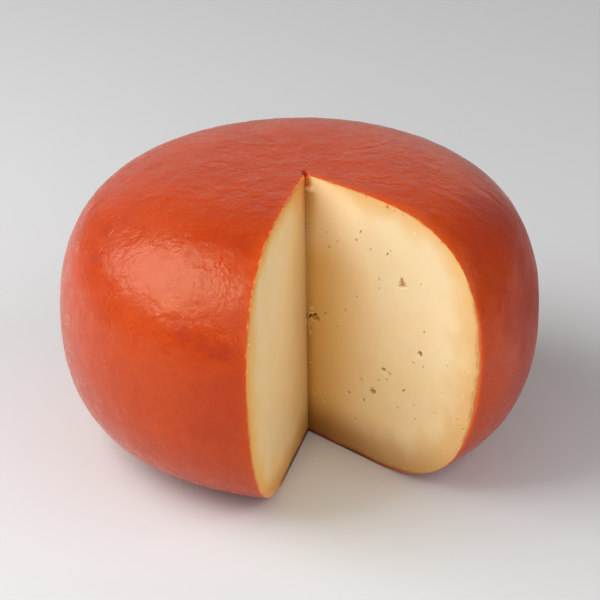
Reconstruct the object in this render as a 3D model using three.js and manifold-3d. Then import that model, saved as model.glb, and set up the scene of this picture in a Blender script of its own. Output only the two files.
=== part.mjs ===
// A wheel of young cheese in a thin orange-red rind, with a sixth of it cut out as a wedge.
// Millimetres, +Z up. The origin is the middle of the flat base. The gap that the wedge left
// opens towards +X and -Y, and its two cut faces show the pale paste with its small eyes.
import * as THREE from 'three';
import { mergeVertices } from 'three/addons/utils/BufferGeometryUtils.js';
import Module from 'manifold-3d';

const wasm = await Module();
wasm.setup();

// Driving dimensions of the wheel. The belt is its widest circle.
const WHEEL_RADIUS = 110;
const TOP_RISE = 65.3; // from the belt up to the middle of the top
const BOTTOM_DROP = 65; // from the belt down to where the bottom would end, were it not pressed flat
const PRESSED_FLAT = 0.9; // how much the wheel's weight has taken off the bottom
const BELT_HEIGHT = BOTTOM_DROP - PRESSED_FLAT;

// Each half of the outline is a quarter of a superellipse, (r / R)^across + (z / rise)^up = 1
const TOP_CURVE = { rise: TOP_RISE, across: 4.36, up: 2.11 };
const BOTTOM_CURVE = { rise: BOTTOM_DROP, across: 5, up: 2.3 };

// A wheel turned by hand while it ripens is never quite round: waves of the radius round the wheel
const ROUND_WAVES = [
  { count: 2, depth: 0.35, phase: 0.7 },
  { count: 3, depth: 0.2, phase: 2.1 },
  { count: 5, depth: 0.1, phase: 4 },
];

// The cut: where its tip line passes the belt, how far it leans from there, and the two faces.
// Directions are degrees about +Z from +X, and a hand-held knife twists a face as it goes down.
const TIP = new THREE.Vector2(5.6, -3.2);
const TIP_LEAN = new THREE.Vector2(-0.0148, 0.0208); // sideways travel for each millimetre up
const RIGHT_FACE = { direction: -14.35, twist: 0.0489 }; // twist is degrees for each millimetre up
const LEFT_FACE = { direction: -75.66, twist: -0.012 };

// Mesh fineness
const TURN_SEGMENTS = 96;
const TOP_STEPS = 18;
const BOTTOM_STEPS = 16;
const CUT_STEPS = 12;

// The eyes and tears wide enough to see from a step away, all in the right cut face. Each is a
// hollow: how far out from the tip line and up from the base it lies, its width, height and depth,
// and its turn in the plane of the face. The first three are one tear beside the tip line, the next
// two a three-cornered eye, and then come a round one, a split, a pit and three small ones.
const EYES = [
  { out: 2.4, up: 60, wide: 3, tall: 1.9, deep: 2.2, turn: 8 },
  { out: 6.2, up: 59.9, wide: 2.1, tall: 3.8, deep: 2.4, turn: 42 },
  { out: 4.4, up: 58.7, wide: 5.8, tall: 2.6, deep: 1.1, turn: -8 },
  { out: 56.5, up: 93.9, wide: 2.2, tall: 4, deep: 2, turn: 6 },
  { out: 57, up: 91.6, wide: 5.4, tall: 2.4, deep: 2.2, turn: 16 },
  { out: 68.7, up: 62.5, wide: 2.9, tall: 2.9, deep: 2.4, turn: 0 },
  { out: 47.3, up: 47.9, wide: 3.2, tall: 1.6, deep: 1.6, turn: 14 },
  { out: 50.9, up: 47.3, wide: 3, tall: 1.2, deep: 1.4, turn: -26 },
  { out: 41.1, up: 34.8, wide: 4.6, tall: 2.2, deep: 2, turn: 12 },
  { out: 29.8, up: 105.5, wide: 2, tall: 1.6, deep: 1.4, turn: 0 },
  { out: 26.2, up: 29.1, wide: 2, tall: 1.6, deep: 1.4, turn: 14 },
  { out: 35.8, up: 28.7, wide: 1.7, tall: 1.7, deep: 1.4, turn: 0 },
];
const EYE_RAGGEDNESS = 0.16;

const radians = THREE.MathUtils.degToRad;

function solidFrom(geometry) {
  const bare = geometry.clone();
  bare.deleteAttribute('normal');
  bare.deleteAttribute('uv');
  const merged = mergeVertices(bare, 1e-4);
  return new wasm.Manifold(
    new wasm.Mesh({
      numProp: 3,
      vertProperties: merged.attributes.position.array,
      triVerts: new Uint32Array(merged.index.array),
    }),
  );
}

function geometryFrom(solid) {
  const { vertProperties, triVerts } = solid.getMesh();
  const geometry = new THREE.BufferGeometry();
  geometry.setAttribute('position', new THREE.BufferAttribute(vertProperties, 3));
  geometry.setIndex(new THREE.BufferAttribute(triVerts, 1));
  geometry.computeVertexNormals();
  return geometry;
}

function moveVertices(geometry, move) {
  const position = geometry.attributes.position;
  const point = new THREE.Vector3();
  for (let i = 0; i < position.count; i++) {
    move(point.fromBufferAttribute(position, i));
    position.setXYZ(i, point.x, point.y, point.z);
  }
  return geometry;
}

// Points of a superellipse's quarter from its axis, at 90 degrees, out to the belt, at 0 degrees
function curvePoint(curve, angle) {
  const r = WHEEL_RADIUS * Math.pow(Math.cos(angle), 2 / curve.across);
  const z = curve.rise * Math.pow(Math.sin(angle), 2 / curve.up);
  return new THREE.Vector2(r, z);
}

// The half outline of the wheel, from the middle of the base, round the side, to the middle of the top
function wheelOutline() {
  const quarter = Math.PI / 2;
  const flatAngle = Math.asin(Math.pow(BELT_HEIGHT / BOTTOM_DROP, BOTTOM_CURVE.up / 2));
  const points = [new THREE.Vector2(0, 0)];
  for (let i = 0; i <= BOTTOM_STEPS; i++) {
    const point = curvePoint(BOTTOM_CURVE, flatAngle * (1 - i / BOTTOM_STEPS));
    points.push(new THREE.Vector2(point.x, BELT_HEIGHT - point.y));
  }
  for (let i = 1; i < TOP_STEPS; i++) {
    const point = curvePoint(TOP_CURVE, (quarter * i) / TOP_STEPS);
    points.push(new THREE.Vector2(point.x, BELT_HEIGHT + point.y));
  }
  points.push(new THREE.Vector2(0, BELT_HEIGHT + TOP_RISE));
  return points;
}

function outOfRound(point) {
  const angle = Math.atan2(point.y, point.x);
  let change = 0;
  for (const wave of ROUND_WAVES) {
    change += wave.depth * Math.cos(wave.count * angle + wave.phase);
  }
  const scale = 1 + change / WHEEL_RADIUS;
  point.x *= scale;
  point.y *= scale;
}

function wholeWheel() {
  const turned = new THREE.LatheGeometry(wheelOutline(), TURN_SEGMENTS).rotateX(Math.PI / 2);
  return solidFrom(moveVertices(turned, outOfRound));
}

function tipAt(height) {
  return TIP.clone().addScaledVector(TIP_LEAN, height - BELT_HEIGHT);
}

function faceDirectionAt(face, height) {
  const angle = radians(face.direction + face.twist * (height - BELT_HEIGHT));
  return new THREE.Vector2(Math.cos(angle), Math.sin(angle));
}

// What the knife took out: a triangle with its corner on the tip line, swept up past the top
function missingWedge() {
  const reach = 2 * WHEEL_RADIUS;
  const clearance = 5;
  const depth = BELT_HEIGHT + TOP_RISE + 2 * clearance;
  const corner = new THREE.Shape([new THREE.Vector2(0, 0), new THREE.Vector2(1, 0), new THREE.Vector2(0, 1)]);
  const swept = new THREE.ExtrudeGeometry(corner, { depth, steps: CUT_STEPS, bevelEnabled: false });
  return solidFrom(
    moveVertices(swept, (point) => {
      const height = point.z - clearance;
      const place = tipAt(height);
      place.addScaledVector(faceDirectionAt(LEFT_FACE, height), point.x * reach);
      place.addScaledVector(faceDirectionAt(RIGHT_FACE, height), point.y * reach);
      point.set(place.x, place.y, height);
    }),
  );
}

// A hollow in the right cut face: a ragged ball, squeezed and turned in the plane of the face
function eyeHollow(eye) {
  const along = faceDirectionAt(RIGHT_FACE, eye.up);
  const outward = new THREE.Vector3(along.x, along.y, 0);
  const upward = new THREE.Vector3(0, 0, 1);
  const inward = new THREE.Vector3().crossVectors(outward, upward);
  const tip = tipAt(eye.up);
  const centre = new THREE.Vector3(tip.x, tip.y, eye.up).addScaledVector(outward, eye.out);
  const ball = moveVertices(new THREE.IcosahedronGeometry(1, 1), (point) => {
    const ragged = Math.sin(5 * point.x + eye.out) * Math.cos(4 * point.y + eye.up);
    point.multiplyScalar(1 + EYE_RAGGEDNESS * ragged);
  });
  ball.scale(eye.wide / 2, eye.tall / 2, eye.deep);
  ball.rotateZ(radians(eye.turn));
  ball.applyMatrix4(new THREE.Matrix4().makeBasis(outward, upward, inward).setPosition(centre));
  return solidFrom(ball);
}

function cheese() {
  let solid = wholeWheel().subtract(missingWedge());
  for (const eye of EYES) {
    solid = solid.subtract(eyeHollow(eye));
  }
  const rind = new THREE.MeshStandardMaterial({ color: 0xc8461f, roughness: 0.42, metalness: 0 });
  const mesh = new THREE.Mesh(geometryFrom(solid), rind);
  mesh.name = 'cheese_wheel';
  return mesh;
}

const gouda = new THREE.Group();
gouda.add(cheese());

export default gouda;
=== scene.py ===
"""A gouda wheel in an orange-red rind, with a wedge cut out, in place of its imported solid. Metres, +Z up.

It is one closed mesh of the solid's own form: the rind as a grid of rings, and each cut face as a sheet of
triangles that is dense along the rind and round the eyes.
"""

import math
from collections import namedtuple

import bmesh
import bpy
import numpy as np
from mathutils import Matrix, Vector, geometry, noise


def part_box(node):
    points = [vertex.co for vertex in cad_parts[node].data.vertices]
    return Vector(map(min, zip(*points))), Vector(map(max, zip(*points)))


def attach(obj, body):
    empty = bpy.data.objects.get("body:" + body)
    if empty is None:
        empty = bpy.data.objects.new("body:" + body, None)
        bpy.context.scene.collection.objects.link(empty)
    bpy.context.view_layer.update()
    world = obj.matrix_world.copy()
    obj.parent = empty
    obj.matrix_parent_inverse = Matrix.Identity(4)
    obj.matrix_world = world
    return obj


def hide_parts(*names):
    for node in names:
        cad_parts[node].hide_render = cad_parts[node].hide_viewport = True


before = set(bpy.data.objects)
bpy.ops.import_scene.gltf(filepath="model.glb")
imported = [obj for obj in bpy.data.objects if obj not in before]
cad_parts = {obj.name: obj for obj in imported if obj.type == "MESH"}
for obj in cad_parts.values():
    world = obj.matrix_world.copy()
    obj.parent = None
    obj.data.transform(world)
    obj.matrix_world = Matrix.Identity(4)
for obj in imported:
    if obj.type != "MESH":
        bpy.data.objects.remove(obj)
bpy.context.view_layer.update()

MM = 0.001
base_corner, top_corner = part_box("cheese_wheel")

# The wheel's outline: two quarters of a superellipse that meet at the belt, its widest circle
WHEEL_RADIUS = 110 * MM
TOP_RISE = 65.3 * MM
BOTTOM_DROP = 65 * MM
BELT_HEIGHT = top_corner.z - TOP_RISE
TOP_CURVE = (TOP_RISE, 4.36, 2.11)
BOTTOM_CURVE = (BOTTOM_DROP, 5, 2.3)
ROUND_WAVES = ((2, 0.35 * MM, 0.7), (3, 0.2 * MM, 2.1), (5, 0.1 * MM, 4))

# The cut: its tip line, which leans, and the direction and twist of its two faces
TIP = np.array((5.6 * MM, -3.2 * MM))
TIP_LEAN = np.array((-0.0148, 0.0208))
FACES = {
    "left": (math.radians(-75.66), math.radians(-0.012) / MM),
    "right": (math.radians(-14.35), math.radians(0.0489) / MM),
}
CUT_ANGLE = 61.3
BEHIND_TIP = math.radians(135)

# Fineness of the mesh: the rings and columns of the rind, the rows along a rim, and the sheets' triangles
OUTLINE_STEPS = 4000
RING_STEP = 1.55 * MM
COLUMN_STEP = 1.9 * MM
EDGE_COLUMNS = np.array((0, 0.3, 0.7, 1.3, 2.1, 3.1, 4.4, 6)) * MM
RIM_COLUMNS = {"left": 0, "right": -1}
INNER_RING = 16 * MM
INNER_RINGS = 12
INNER_CROWDING = 1.4
RIM_ROWS = np.array((0.3, 0.65, 1.05, 1.6, 2.4, 3.4)) * MM
FACE_STEP = {"right": 1.15 * MM, "left": 1.35 * MM}
FACE_JITTER = 0.18
TIP_STEP = 0.9 * MM
ROW_SPACING = 0.866
# How far the other points stay from a mark's close ones, so that no triangle is a sliver
FILL_GAP = 0.5 * MM
BAND_GAP = 0.3 * MM
PATCH_GAP = 0.12 * MM

# The camera, as the photograph's outline gives it
CAMERA_AZIMUTH = math.radians(28.9)
CAMERA_ELEVATION = math.radians(26.12)
CAMERA_DISTANCE = 1.54
CAMERA_LENS = 201.16
CAMERA_ROLL = math.radians(-0.686)
CAMERA_CLIP = (0.05, 50)
SENSOR_WIDTH = 36
AIM_RIGHT = 0.26 * MM
AIM_ABOVE_BELT = 0.22 * MM


def smooth(low, high, value):
    """0 at low, 1 at high, and a smooth step between."""
    share = np.clip((value - low) / (high - low), 0, 1)
    return share * share * (3 - 2 * share)


def heading(angle):
    """Unit vectors in the plan, for directions in radians."""
    return np.stack((np.cos(angle), np.sin(angle)), -1)


def on_plan(angle, radius):
    """A point in the plan, from its angle in degrees and its radius in millimetres."""
    return radius * MM * heading(math.radians(angle))


def new_object(name, data):
    """An object in the scene for a mesh, a light or a camera."""
    made = bpy.data.objects.new(name, data)
    bpy.context.scene.collection.objects.link(made)
    return made


# The wheel's form, as formulas


def from_belt(curve, radius):
    """How far above or below the belt a half outline lies at a radius."""
    rise, across, up = curve
    return rise * (1 - (radius / WHEEL_RADIUS) ** across) ** (1 / up)


def outline_radius(height):
    """The wheel's radius at a height above the base."""
    above = height - BELT_HEIGHT
    curves = np.where(above[..., None] >= 0, TOP_CURVE, BOTTOM_CURVE)
    rise, across, up = np.moveaxis(curves, -1, 0)
    return WHEEL_RADIUS * np.clip(1 - (np.abs(above) / rise) ** up, 0, 1) ** (1 / across)


def outline_stations():
    """Radius and height of the rings, evenly spaced from the inner ring on top to the one below."""
    top = WHEEL_RADIUS * np.sin(np.linspace(0, np.pi / 2, OUTLINE_STEPS))
    low = top[::-1][1:]
    radius = np.append(top, low)
    above = np.append(from_belt(TOP_CURVE, top), -from_belt(BOTTOM_CURVE, low))
    height = np.maximum(BELT_HEIGHT + above, base_corner.z)
    length = np.append(0, np.cumsum(np.hypot(np.diff(radius), np.diff(height))))
    outside = radius >= INNER_RING
    start, end = length[outside][0], length[outside][-1]
    count = int(round((end - start) / RING_STEP)) + 1
    at = np.linspace(start, end, count)
    return np.interp(at, length, radius), np.interp(at, length, height)


def round_scale(angle):
    """How far the wheel is out of round in a direction, as a factor of its radius."""
    waves = sum(depth * np.cos(count * angle + phase) for count, depth, phase in ROUND_WAVES)
    return 1 + waves / WHEEL_RADIUS


def tip_at(height):
    return TIP + TIP_LEAN * (np.asarray(height)[..., None] - BELT_HEIGHT)


def from_tip_line(points):
    """Distance of points from the tip line, level with them."""
    return np.hypot(*(points[:, :2] - tip_at(points[:, 2])).T)


def face_angle(side, height):
    direction, twist = FACES[side]
    return direction + twist * (height - BELT_HEIGHT)


def reach(height, radius, angle):
    """Distance from the tip line to the rind at a height, in a direction."""
    tip = tip_at(height)
    ray = heading(angle)
    along = (tip * ray).sum(-1)
    scale = np.ones_like(angle)
    for _ in range(5):
        distance = -along + np.sqrt(along**2 - (tip**2).sum(-1) + (radius * scale) ** 2)
        point = tip + ray * distance[..., None]
        scale = round_scale(np.arctan2(point[..., 1], point[..., 0]))
    return distance


def on_ray(height, angle, distance):
    """Points at a distance from the tip line, as rows of x, y, z."""
    flat = tip_at(height) + heading(angle) * np.asarray(distance)[..., None]
    return np.concatenate((flat, np.broadcast_to(height, flat.shape[:-1])[..., None]), -1)


def behind_face(side, angle):
    """Unit vectors from a cut face into the cheese."""
    behind = np.stack((np.sin(angle), -np.cos(angle), np.zeros(len(angle))), -1)
    return -behind if side == "right" else behind


# A mark in a cut face, in millimetres and degrees: its middle's place out from the tip line and up from the
# base, its width, height, depth and turn, and how much painted shade darkens it inside, over 1 at its foot
# too, which also sets a painted highlight on its lower lip. The eyes are the imported solid's hollows, but
# the tear beside the tip line, which comes first, and the three-cornered eye after it are several finer
# ones each.
Mark = namedtuple("Mark", "out up wide tall deep turn tint")
EYES = (
    (1.1, 58.7, 1.4, 3.1, 1.4, -23, 1.2), (2.6, 60, 3.1, 1.3, 1.8, 16, 1.1),
    (4.6, 60.9, 3, 1.3, 1.8, 33, 1.1), (6.3, 60.3, 4, 1.7, 2.2, -52, 1.25),
    (4.2, 59.2, 4.6, 2, 0.9, -2, 0.5), (56.7, 94, 1.9, 3, 1.8, 10, 0.5),
    (56.9, 92.6, 3.9, 2.4, 2, 14, 0.45), (57.1, 91.5, 6.2, 1.9, 2, 16, 0.35),
    (68.7, 62.5, 2.9, 2.9, 2.4, 0, 0.9), (47.3, 47.9, 3.2, 1.6, 1.6, 14, 0.8),
    (50.9, 47.3, 3, 1.2, 1.4, -26, 0.8), (41.1, 34.8, 4.6, 2.2, 2, 12, 0.9),
    (29.8, 105.5, 1.8, 1.5, 1.2, 0, 0.4), (26.2, 29.1, 2, 1.6, 1.4, 14, 0.8),
    (35.8, 28.7, 1.7, 1.7, 1.4, 0, 0.8),
)
SMALL_MARKS = (
    (12.8, 104.5, 1.1, 0.9, 0.5, 0, 0.4), (13.8, 97.5, 2.6, 1.2, 0.8, -10, 0.7),
    (18.8, 101.7, 2, 0.7, 0.6, -12, 0.7), (32.3, 110.2, 0.9, 2.2, 0.7, -26, 0.8),
    (38.4, 103.5, 0.9, 1.1, 0.6, 0, 0.7), (47.9, 104, 1, 2, 0.8, -25, 0.8),
    (49.7, 105.9, 0.8, 1, 0.5, -20, 0.7), (43.5, 90.8, 1.1, 1.2, 0.7, 0, 0.7),
    (43.6, 86.4, 1, 0.9, 0.6, 0, 0.6), (67.6, 95.5, 1, 1, 0.4, 0, 0.4),
    (30.5, 78.3, 1.5, 0.8, 0.4, 10, 0.5), (23.7, 69.5, 0.8, 2.2, 0.6, -8, 0.7),
    (11.5, 63.8, 1.1, 1.9, 0.9, 22, 0.9), (19, 59.9, 3.2, 0.7, 0.3, 6, 0.4),
    (18, 62.4, 0.6, 3.4, 0.25, 4, 0.25), (1.5, 105.2, 1.4, 0.7, 0.4, 0, 0.6),
    (1.7, 103, 1.8, 0.8, 0.5, 6, 0.7), (2.7, 65.6, 3.2, 0.7, 0.5, 4, 0.6),
    (2.2, 53.2, 1.1, 3.2, 0.6, 0, 0.6), (96.2, 35.6, 2.8, 0.7, 0.5, 16, 0.6),
    (70.6, 73.6, 1, 1.5, 0.7, 0, 0.8), (65.1, 57.1, 2.5, 0.8, 0.6, -8, 0.7),
    (71, 57, 1.2, 1.2, 0.6, 0, 0.7), (84.9, 62.2, 1.1, 0.8, 0.3, 0, 0.4),
    (44.6, 41.8, 1.7, 0.9, 0.5, 14, 0.5), (49.6, 43.8, 2.2, 0.6, 0.4, 16, 0.5),
    (40.8, 36.5, 3.2, 0.5, 0.4, 10, 0.5), (34.7, 30.6, 0.9, 0.8, 0.4, 0, 0.4),
    (59.9, 41.9, 2.2, 0.8, 0.6, 46, 0.8), (56.6, 32.2, 1.4, 1.2, 0.7, -10, 0.7),
    (66, 36.9, 1.7, 0.7, 0.4, -10, 0.4), (67.4, 30.5, 1.2, 1, 0.5, 0, 0.5),
    (78.6, 37.5, 0.9, 0.9, 0.4, 0, 0.4), (82.7, 48.5, 0.8, 0.8, 0.3, 0, 0.3),
    (92.7, 39.2, 0.9, 1.1, 0.4, 0, 0.4), (30.4, 17.3, 1.3, 1.2, 0.7, 0, 0.6),
    (29.7, 13.6, 1.3, 0.8, 0.5, 0, 0.5), (4.9, 21.5, 1.3, 1.2, 0.7, 0, 0.8),
    (11.1, 24.5, 1.1, 0.9, 0.5, 0, 0.6), (11, 19.9, 1.2, 1.3, 0.6, 0, 0.7),
    (17.4, 23.1, 0.6, 2.6, 0.3, 0, 0.3), (34.3, 38.6, 2.6, 2.2, 0.2, 0, 0.15),
)
LEFT_MARKS = (
    (36, 17.8, 1.6, 1, 0.5, 30, 0.5), (32.7, 65, 0.7, 2.4, 0.3, 0, 0.3),
    (2.9, 56.9, 2.6, 0.9, 0.6, -30, 0.8),
)
# Smears and flakes that the knife left standing: the same sizes, with a height in place of the depth, and
# how pale each one is, partly their own paler paste and partly a painted highlight on their lit tops
RIGHT_FLAKES = (
    (47.6, 45.8, 3.2, 2.2, 0.3, -10, 0.8), (1.9, 61.2, 1.8, 1, 0.5, 8, 0.5),
    (3.9, 62, 1.8, 1, 0.5, 25, 0.5), (2.6, 63.9, 3.4, 2.6, 0.6, 0, 0.15),
    (63.4, 118, 0.9, 3, 0.2, 12, 0.7), (71.9, 113.6, 0.9, 2.6, 0.25, 6, 0.7),
    (88, 88.2, 2.4, 0.8, 0.2, 10, 0.7), (95, 50.9, 1.4, 2, 0.25, 0, 0.7),
    (97.4, 63, 2.6, 1, 0.2, 20, 0.7), (90.5, 36.7, 1.2, 2, 0.2, 0, 0.6),
    (80.8, 25, 2.6, 1, 0.2, 24, 0.6), (63.6, 9.6, 1.6, 1.2, 0.2, 0, 0.3),
    (11.4, 17.6, 1.2, 0.9, 0.2, 0, 0.3), (37.4, 104.6, 0.8, 1, 0.15, 0, 0.6),
    (1.3, 106.4, 1.2, 0.9, 0.3, 0, 0.5), (1.5, 104.1, 1.2, 0.9, 0.3, 0, 0.5),
    (1.8, 36.2, 1.5, 1.3, 0.3, 0, 0.6),
)
LEFT_FLAKES = (
    (80.3, 18.5, 0.8, 5, 0.3, 0, 0.9), (38.9, 33.1, 0.9, 4.6, 0.2, 0, 0.6),
    (70.8, 33.3, 0.9, 4.6, 0.15, 0, 0.5),
)
FACE_HOLLOWS = {"right": EYES + SMALL_MARKS, "left": LEFT_MARKS}
FACE_FLAKES = {"right": RIGHT_FLAKES, "left": LEFT_FLAKES}
# Where else the mesh is close, for the torn ledge at the tip's top
CLOSE_PATCHES = {"right": ((3.4, 123.4, 5.4, 5.4, 0, 0, 0),), "left": ()}
RAGGEDNESS = 0.16
# How far the close mesh reaches past a mark, as a factor and more, and its finest and coarsest step
MARK_MARGIN = 1.4
MARK_SPARE = 0.3 * MM
MARK_STEPS = (0.2, 0.38)

# Nicks in the tip line itself: height above the base, length and depth in millimetres
TIP_NICKS = ((59.2, 3.2, 0.7), (53.2, 3, 0.4), (49.4, 2.4, 0.3), (104.5, 5, 0.3))

# The torn ledge below the tip's top, and the notch that the knife left in the rind behind the tip
LEDGE_OUT = 5.8 * MM
LEDGE_UP = 121.8 * MM
LEDGE_HEIGHT = 1.1 * MM
NOTCH_DIRECTION = math.radians(119)
NOTCH_LENGTH = 4.4 * MM
NOTCH_HALF_WIDTH = 1.1 * MM
NOTCH_DEPTH = 2 * MM
NOTCH_FOOT = 9 * MM
LIP_HEIGHT = 0.35 * MM

# How wide the coating's cut edge shows: everywhere on the left face, on the right one beside the wheel's
# side, and on both where the rind turns under the wheel. A groove runs along it where it came loose, and its
# dark tint is painted shade in the groove.
COATING = {"left": 1.8 * MM, "right": 0.3 * MM}
COATING_BELOW = 1.3 * MM
COATING_BESIDE = {"left": 0, "right": 1.5 * MM}
GROOVE = {"left": 0.1, "right": 1}
GROOVE_DEPTH = 0.28 * MM
# How strongly the coating glows orange along each rim, where light comes through it, and how far that
# reaches beside the wheel's side and on its top
RIM_GLOW = {"left": (0.4, 4 * MM, 6 * MM), "right": (1, 3.5 * MM, 10 * MM)}

# Waves that the knife left, drawn out along its stroke: the noise's seed and their height in millimetres
KNIFE_WAVES = {"left": (12, 0.11), "right": (11, 0.08)}
KNIFE_STROKE = np.array((1, 0.14))


def mark_centre(mark):
    return np.array((mark.out, mark.up)) * MM


def mark_share(mark, points):
    """Distance of face points from a mark's middle, in its ragged radii, and how high up in it they are."""
    turn = math.radians(mark.turn)
    offset = (points - mark_centre(mark)) / MM
    across = offset @ heading(turn) / (mark.wide / 2)
    upward = offset @ heading(turn + math.pi / 2) / (mark.tall / 2)
    ragged = np.sin(5 * across + mark.out) * np.cos(4 * upward + mark.up)
    share = np.hypot(across, upward) / (1 + RAGGEDNESS * ragged)
    return share, upward / np.maximum(np.hypot(across, upward), 1e-6)


def mark_reach(mark):
    return max(mark.wide, mark.tall) * MM / 2 * MARK_MARGIN + MARK_SPARE


def mark_points(mark):
    """A round patch of close mesh points over a mark."""
    radius = mark_reach(mark)
    step = float(np.clip(min(mark.wide, mark.tall) / 5, *MARK_STEPS)) * MM
    steps = np.arange(-math.ceil(radius / step), math.ceil(radius / step) + 1)
    across, upward = np.meshgrid(steps.astype(float), steps.astype(float))
    across = across + (np.abs(upward) % 2) / 2
    patch = np.stack((across.ravel(), upward.ravel() * ROW_SPACING), -1) * step
    return mark_centre(mark) + patch[np.hypot(*patch.T) < radius]


# The rind: rings round the wheel from one cut face to the other


def rind_grid():
    """Grid of rind points, rows from the top ring down and columns from the left face to the right one."""
    radius, height = outline_stations()
    belt_length = 2 * np.pi * WHEEL_RADIUS * (1 - CUT_ANGLE / 360)
    middle_count = round((belt_length - 2 * EDGE_COLUMNS[-1]) / COLUMN_STEP)
    middle = np.linspace(EDGE_COLUMNS[-1], belt_length - EDGE_COLUMNS[-1], middle_count)
    share = np.hstack((EDGE_COLUMNS[:-1], middle, belt_length - EDGE_COLUMNS[-2::-1])) / belt_length
    start = face_angle("left", height)[:, None]
    span = start - (face_angle("right", height)[:, None] - 2 * np.pi)
    angle = start - span * share
    rows = np.broadcast_to(height[:, None], angle.shape)
    distance = reach(rows, np.broadcast_to(radius[:, None], angle.shape), angle)
    grid = on_ray(rows, angle, distance)
    inner = (np.linspace(0, 1, INNER_RINGS + 1)[1:-1] ** INNER_CROWDING)[:, None, None]
    top_tip, low_tip = (np.append(tip_at(end), end) for end in height[[0, -1]])
    top_rings = top_tip + inner * (grid[:1] - top_tip)
    low_rings = low_tip + inner[::-1] * (grid[-1:] - low_tip)
    return np.vstack((top_rings, grid, low_rings)), top_tip, low_tip


def rim_numbers(index, side):
    """The numbers of a cut face's rim points from top to bottom, between those of the tip line's ends."""
    return np.hstack((index.size, index[:, RIM_COLUMNS[side]], index.size + 1))


# The cut faces: sheets of triangles in each face's own plane, as rows of (out from the tip line, up)


def distance_to(points, line):
    """Shortest distance from each point to a polyline."""
    best = np.full(len(points), 1e9)
    for a, b in zip(line[:-1], line[1:]):
        step = b - a
        share = np.clip(((points - a) @ step) / (step @ step), 0, 1)
        best = np.minimum(best, np.hypot(*(points - a - share[:, None] * step).T))
    return best


def fill_points(side, edge, generator):
    """Evenly scattered points over a cut face, short of its rim."""
    step = FACE_STEP[side]
    columns = np.arange(step / 2, WHEEL_RADIUS, step)
    rows = np.arange(edge[-1, 1] + step / 2, edge[0, 1], step * ROW_SPACING)
    out, up = np.meshgrid(columns, rows)
    out = out + (np.arange(len(rows)) % 2)[:, None] * step / 2
    fill = np.stack((out.ravel(), up.ravel()), -1)
    fill = fill + generator.uniform(-FACE_JITTER, FACE_JITTER, fill.shape) * step
    fill = fill[fill[:, 0] > 0.7 * step]
    limit = reach(fill[:, 1], outline_radius(fill[:, 1]), face_angle(side, fill[:, 1]))
    fill = fill[fill[:, 0] < limit]
    return fill[distance_to(fill, edge) > RIM_ROWS[-1] + 0.6 * step]


def rim_bands(edge):
    """Rows of points that follow the rim, close together near it."""
    direction = np.gradient(edge, axis=0)
    inward = np.stack((direction[:, 1], -direction[:, 0]), -1)
    inward = inward / np.linalg.norm(inward, axis=1)[:, None]
    bands = []
    for depth in RIM_ROWS:
        band = edge + inward * depth
        bands.append(band[(distance_to(band, edge) > 0.93 * depth) & (band[:, 0] > 0.4 * MM)])
    return np.vstack(bands)


def clear_of(points, marks, gap):
    """The points that lie further than a gap outside every mark's close patch."""
    for mark in marks:
        points = points[np.hypot(*(points - mark_centre(mark)).T) > mark_reach(mark) + gap]
    return points


def mark_patches(marks, edge):
    """The close points over all marks, each where no mark before it has its own."""
    patches = []
    for index, mark in enumerate(marks):
        patch = clear_of(mark_points(mark), marks[:index], PATCH_GAP)
        patches.append(patch[patch[:, 0] > 0.35 * MM])
    patches = np.vstack(patches)
    return patches[distance_to(patches, edge) > 0.5 * MM]


def face_sheet(side, edge, generator):
    """A cut face's inner points, its tip line, and triangles over edge, tip line and inner points."""
    marks = [Mark(*row) for row in FACE_HOLLOWS[side] + FACE_FLAKES[side] + CLOSE_PATCHES[side]]
    top, low = edge[0, 1], edge[-1, 1]
    tip_count = round((top - low) / TIP_STEP)
    tip_line = np.stack((np.zeros(tip_count - 1), np.linspace(low, top, tip_count + 1)[1:-1]), -1)
    fill = clear_of(fill_points(side, edge, generator), marks, FILL_GAP)
    bands = clear_of(rim_bands(edge), marks, BAND_GAP)
    inner = np.vstack((bands, fill, mark_patches(marks, edge)))
    loop = np.vstack((edge, tip_line))
    everything = np.vstack((loop, inner)) / MM
    border = [(i, (i + 1) % len(loop)) for i in range(len(loop))]
    made = geometry.delaunay_2d_cdt([Vector(p) for p in everything], border, [], 1, 1e-5)
    assert len(made[0]) == len(everything), "the sheet's points were merged"
    return inner, tip_line, np.array([list(f) for f in made[2]])


# Relief, wear and painted shade, as numbers on the mesh's points


def noise_field(points, size, seed, octaves=2):
    """Noise of about -1 to 1 over points in space or in a face, with features of a size in millimetres."""
    shift = Vector((seed * 7.3, seed * 3.1, seed * 5.7))
    dimension, lacunarity = 0.9, 2.1
    places = [Vector(p).to_3d() / (size * MM) + shift for p in points]
    return np.array([noise.fractal(place, dimension, lacunarity, octaves) for place in places])


# Fine folds of the coating on the wheel's top, roughly along one direction: how far from the middle they
# lie, and the ranges of their half length, width and height in millimetres
FOLD_DIRECTION = CAMERA_AZIMUTH
FOLD_COUNT = 90
FOLD_REACH = 98 * MM
FOLD_TURN = 0.22
FOLD_SIZES = ((2.5, 8), (0.9, 1.4), (0.05, 0.15))
# The larger folds: angle in degrees and radius in millimetres of each end, half width and height
LARGE_FOLDS = (
    (74, 34, 71, 61, 1.3, 0.16), (50, 57, 44, 66, 1.2, 0.22), (45, 60, 40, 68, 1.2, 0.18),
    (45, 79, 36, 88, 1.6, 0.3), (41, 75, 28, 88, 2.2, 0.2), (31, 84, 26, 94, 1.3, 0.3),
    (-97, 86, -87, 86, 1.1, 0.16), (-111, 86, -100, 87, 1.3, 0.1), (-89, 81, -84, 83, 1.2, 0.12),
    (-118, 32, -104, 30, 1.2, 0.18), (-128, 40, -112, 42, 1.1, 0.14),
    (-150, 52, -140, 58, 1.2, 0.12), (150, 46, 168, 52, 1.2, 0.14), (138, 40, 128, 32, 1.2, 0.12),
    (-158, 74, -150, 82, 1.4, 0.14),
)
FOLD_BEND = 0.12
SHOULDER_PLACE = 1.7
SHOULDER_HEIGHT = 0.7


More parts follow.
